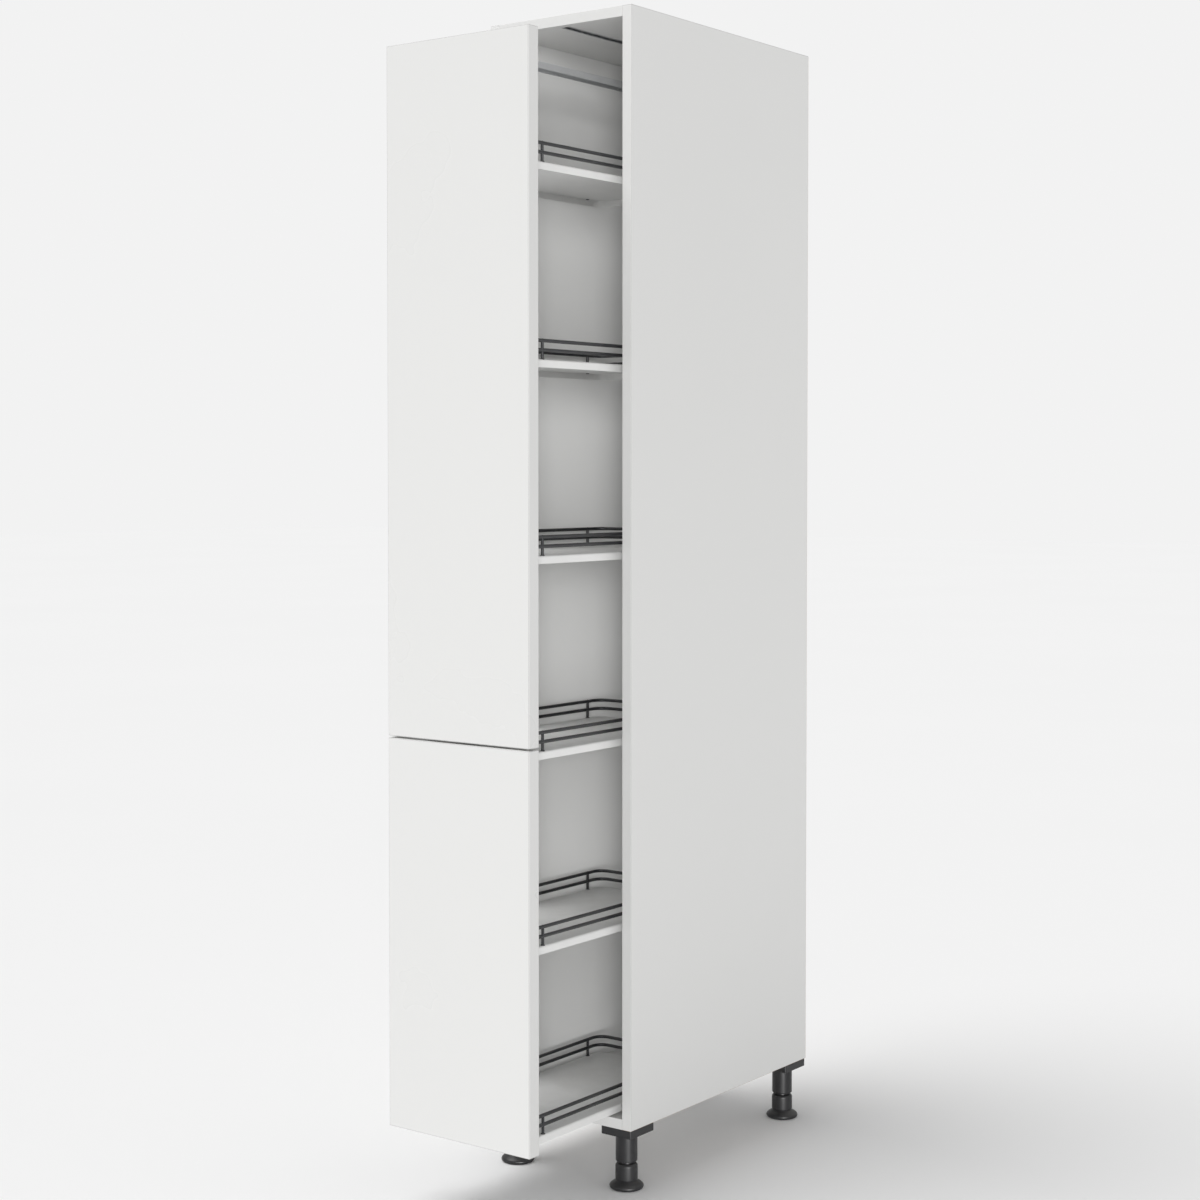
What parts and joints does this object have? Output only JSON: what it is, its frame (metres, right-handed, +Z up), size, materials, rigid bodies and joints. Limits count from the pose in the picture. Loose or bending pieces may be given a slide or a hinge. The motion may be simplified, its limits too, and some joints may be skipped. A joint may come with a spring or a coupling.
{
  "type": "pull out larder unit",
  "caption": "Tall narrow kitchen cabinet on adjustable legs, with a two-part front, trays with wire galleries and a steel frame that slide out together on a flat ball runner.",
  "frame": {"origin": "on the floor, under the middle of the unit as it stands with its front pulled out by 241 mm", "axes": "+X to the right as seen from the front, +Y into the cabinet, +Z up; the front faces -Y"},
  "size_m": [0.3, 0.828, 1.98],
  "materials": {
    "board": "white laminated board, satin",
    "front": "white laminated front, smooth satin",
    "tray": "white powder-coated sheet, satin",
    "wire": "graphite powder-coated wire, satin",
    "frame": "silver powder-coated steel, satin",
    "zinc": "zinc-plated sheet steel, satin",
    "ball": "polished balls in a bright steel cage",
    "leg": "black moulded plastic, half gloss",
    "nylon": "natural nylon, matt",
    "bumper": "soft clear-grey bumper, matt"
  },
  "bodies": {
    "carcass": {"side_panel_left": "board", "side_panel_right": "board", "bottom_panel": "board", "top_panel": "board", "back_panel": "board", "guide_rail": "zinc", "runner_outer": "zinc", "leg_socket_front_left": "leg", "leg_tube_front_left": "leg", "leg_socket_front_right": "leg", "leg_tube_front_right": "leg", "leg_socket_rear_left": "leg", "leg_tube_rear_left": "leg", "leg_socket_rear_right": "leg", "leg_tube_rear_right": "leg"},
    "pull_out": {"lower_front": "front", "upper_front": "front", "front_bracket_1": "zinc", "front_bracket_2": "zinc", "front_bracket_3": "zinc", "front_bracket_4": "zinc", "bumper_1": "bumper", "bumper_2": "bumper", "bumper_3": "bumper", "bumper_4": "bumper", "front_upright": "frame", "rear_upright": "frame", "top_bar": "frame", "bottom_bar": "frame", "guide_bracket": "zinc", "guide_axle_1": "zinc", "guide_axle_2": "zinc", "runner_inner": "zinc", "tray_1": "tray", "tray_2": "tray", "tray_3": "tray", "tray_4": "tray", "tray_5": "tray", "tray_6": "tray", "gallery_1": "wire", "gallery_2": "wire", "gallery_3": "wire", "gallery_4": "wire", "gallery_5": "wire", "gallery_6": "wire"},
    "runner_middle": {"runner_middle": "zinc"},
    "ball_cage_outer": {"ball_cage_outer": "ball"},
    "ball_cage_inner": {"ball_cage_inner": "ball"},
    "guide_roller_1": {"guide_roller_1": "nylon"},
    "guide_roller_2": {"guide_roller_2": "nylon"},
    "foot_front_left": {"leg_foot_front_left": "leg"},
    "foot_front_right": {"leg_foot_front_right": "leg"},
    "foot_rear_left": {"leg_foot_rear_left": "leg"},
    "foot_rear_right": {"leg_foot_rear_right": "leg"}
  },
  "joints": [
    {"name": "pull_out_slide", "type": "slide", "parent": "carcass", "child": "pull_out", "axis": [0, -1, 0], "range_m": [-0.241, 0.229]},
    {"name": "runner_middle_slide", "type": "slide", "parent": "carcass", "child": "runner_middle", "axis": [0, -1, 0], "range_m": [-0.1205, 0.1145]},
    {"name": "ball_cage_outer_slide", "type": "slide", "parent": "carcass", "child": "ball_cage_outer", "axis": [0, -1, 0], "range_m": [-0.06025, 0.05725]},
    {"name": "ball_cage_inner_slide", "type": "slide", "parent": "carcass", "child": "ball_cage_inner", "axis": [0, -1, 0], "range_m": [-0.18075, 0.17175]},
    {"name": "guide_roller_1_spin", "type": "hinge", "parent": "pull_out", "child": "guide_roller_1", "pos_m": [0, 0.1091, 1.9666], "axis": [0, 0, 1], "continuous": true},
    {"name": "guide_roller_2_spin", "type": "hinge", "parent": "pull_out", "child": "guide_roller_2", "pos_m": [0, 0.1291, 1.9666], "axis": [0, 0, 1], "continuous": true},
    {"name": "foot_front_left_height", "type": "slide", "parent": "carcass", "child": "foot_front_left", "axis": [0, 0, 1], "range_m": [-0.02, 0.0015]},
    {"name": "foot_front_right_height", "type": "slide", "parent": "carcass", "child": "foot_front_right", "axis": [0, 0, 1], "range_m": [-0.02, 0.0015]},
    {"name": "foot_rear_left_height", "type": "slide", "parent": "carcass", "child": "foot_rear_left", "axis": [0, 0, 1], "range_m": [-0.02, 0.0015]},
    {"name": "foot_rear_right_height", "type": "slide", "parent": "carcass", "child": "foot_rear_right", "axis": [0, 0, 1], "range_m": [-0.02, 0.0015]}
  ],
  "couplings": [
    {"joint": "runner_middle_slide", "follows": "pull_out_slide", "ratio": 0.5},
    {"joint": "ball_cage_outer_slide", "follows": "pull_out_slide", "ratio": 0.25},
    {"joint": "ball_cage_inner_slide", "follows": "pull_out_slide", "ratio": 0.75},
    {"joint": "guide_roller_1_spin", "follows": "pull_out_slide", "rad_per_m": 138.89},
    {"joint": "guide_roller_2_spin", "follows": "pull_out_slide", "rad_per_m": 138.89}
  ]
}
